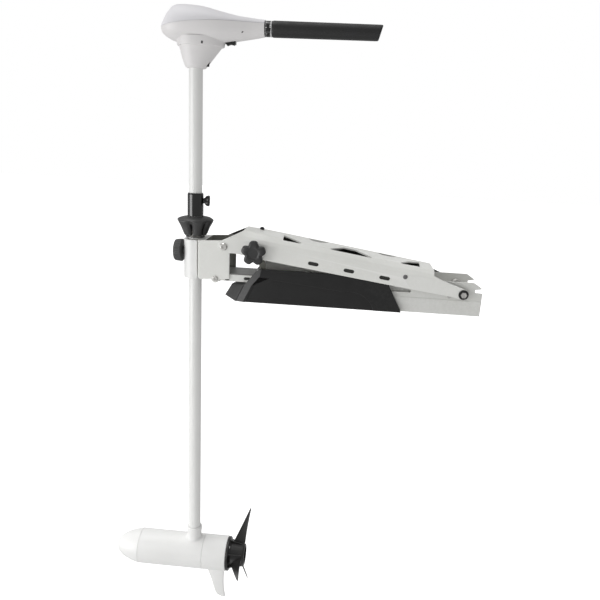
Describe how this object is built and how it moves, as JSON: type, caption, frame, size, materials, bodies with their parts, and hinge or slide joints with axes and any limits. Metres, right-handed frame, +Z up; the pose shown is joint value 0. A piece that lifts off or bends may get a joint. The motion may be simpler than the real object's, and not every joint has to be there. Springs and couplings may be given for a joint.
{
  "type": "bow mount trolling motor",
  "caption": "Hand-steered bow-mount electric outboard on a folding deck bracket, with an adjustable shaft and a twist-grip tiller.",
  "frame": {"origin": "on the deck, under the middle of the base's underside", "axes": "+Z up and along the steering shaft, -X out over the bow, +X aft along the base, -Y to port where the latch knob is"},
  "size_m": [0.8193, 0.1821, 1.401],
  "materials": {
    "white_paint": "satin",
    "cast_paint": "satin",
    "shaft_tube": "satin",
    "white_plastic": "satin",
    "black_plastic": "satin",
    "black_rubber": "matte",
    "steel": "satin",
    "winding": "satin",
    "copper": "satin",
    "magnet": "matte",
    "nylon": "matte",
    "circuit_board": "satin"
  },
  "bodies": {
    "mount": {"base_channel": "white_paint", "nose_cover": "black_plastic", "side_cover_port": "black_plastic", "side_cover_starboard": "black_plastic", "latch_bracket": "black_plastic", "latch_stud": "steel", "pivot_bolt_port": "steel", "pivot_bolt_starboard": "steel", "link_pin": "steel"},
    "star_knob": {"star_knob": "black_plastic"},
    "arm": {"arm_channel": "white_paint", "arm_cross_pin": "steel", "arm_bumper": "black_rubber", "rear_bushing_port": "black_plastic", "rear_bushing_starboard": "black_plastic", "upper_pivot_bolt": "steel", "upper_pivot_nut": "steel"},
    "link": {"lower_link": "white_paint"},
    "column": {"column_block": "white_paint", "clamp_cap": "cast_paint", "upper_bearing": "nylon", "lower_bearing": "nylon", "seat_washer": "steel", "steering_collet": "nylon", "link_bolt_port": "steel", "link_bolt_starboard": "steel"},
    "tension_knob": {"tension_knob": "black_plastic"},
    "clamp_knob": {"clamp_knob": "black_plastic", "clamp_stud": "steel"},
    "collar": {"depth_collar": "black_plastic"},
    "collar_screw": {"collar_screw": "black_plastic"},
    "shaft": {"shaft_tube": "shaft_tube", "motor_leads": "black_rubber", "motor_housing": "cast_paint", "nose_cone": "cast_paint", "end_cap": "cast_paint", "magnet_upper": "magnet", "magnet_lower": "magnet", "brush_plate": "nylon", "through_bolt_port": "steel", "through_bolt_starboard": "steel", "bearing_front": "steel", "bearing_rear": "steel", "shaft_seal": "black_rubber", "head_upper_shell": "white_plastic", "head_lower_shell": "white_plastic", "speed_switch": "black_plastic", "control_board": "circuit_board", "cable_grommet": "black_rubber", "switch_bezel": "black_plastic"},
    "propeller": {"propeller": "black_plastic", "armature": "winding", "commutator": "copper", "drive_pin": "steel", "prop_nut": "steel"},
    "grip": {"throttle_grip": "black_rubber", "dial_ring": "black_plastic", "throttle_shaft": "steel"},
    "rocker": {"rocker_switch": "black_plastic"}
  },
  "joints": [
    {"name": "fold", "type": "hinge", "parent": "mount", "child": "arm", "pos_m": [0.232, 0, 0.047], "axis": [0, 1, 0], "range_deg": [0, 140]},
    {"name": "column_tilt", "type": "hinge", "parent": "arm", "child": "column", "pos_m": [-0.27796, 0, 0.11595], "axis": [0, 1, 0], "range_deg": [-49, 0]},
    {"name": "link_swing", "type": "hinge", "parent": "mount", "child": "link", "pos_m": [0.204, 0, 0.04], "axis": [0, 1, 0], "range_deg": [0, 142.8]},
    {"name": "latch", "type": "hinge", "parent": "mount", "child": "star_knob", "pos_m": [-0.2102, 0, 0.11], "axis": [0, -1, 0], "range_deg": [0, 720]},
    {"name": "tension", "type": "hinge", "parent": "column", "child": "tension_knob", "pos_m": [-0.35, 0, 0.131], "axis": [0, 0, 1], "range_deg": [0, 270]},
    {"name": "clamp", "type": "hinge", "parent": "column", "child": "clamp_knob", "pos_m": [-0.35, 0, 0.095], "axis": [-1, 0, 0], "range_deg": [0, 360]},
    {"name": "steer", "type": "hinge", "parent": "column", "child": "collar", "pos_m": [-0.35, 0, 0.172], "axis": [0, 0, 1], "continuous": true},
    {"name": "collar_lock", "type": "hinge", "parent": "collar", "child": "collar_screw", "pos_m": [-0.35, 0, 0.206], "axis": [1, 0, 0], "range_deg": [0, 720]},
    {"name": "depth", "type": "slide", "parent": "collar", "child": "shaft", "axis": [0, 0, 1], "range_m": [-0.25, 0.53]},
    {"name": "prop_spin", "type": "hinge", "parent": "shaft", "child": "propeller", "pos_m": [-0.35, 0, -0.675], "axis": [1, 0, 0], "continuous": true},
    {"name": "throttle", "type": "hinge", "parent": "shaft", "child": "grip", "pos_m": [-0.35, 0, 0.555], "axis": [1, 0, 0], "range_deg": [-70, 110]},
    {"name": "power_switch", "type": "hinge", "parent": "shaft", "child": "rocker", "pos_m": [-0.278, 0, 0.526], "axis": [0, 1, 0], "range_deg": [-10, 10]}
  ],
  "couplings": [
    {"joint": "column_tilt", "follows": "fold", "ratio": -0.35},
    {"joint": "link_swing", "follows": "fold", "ratio": 1.02}
  ]
}
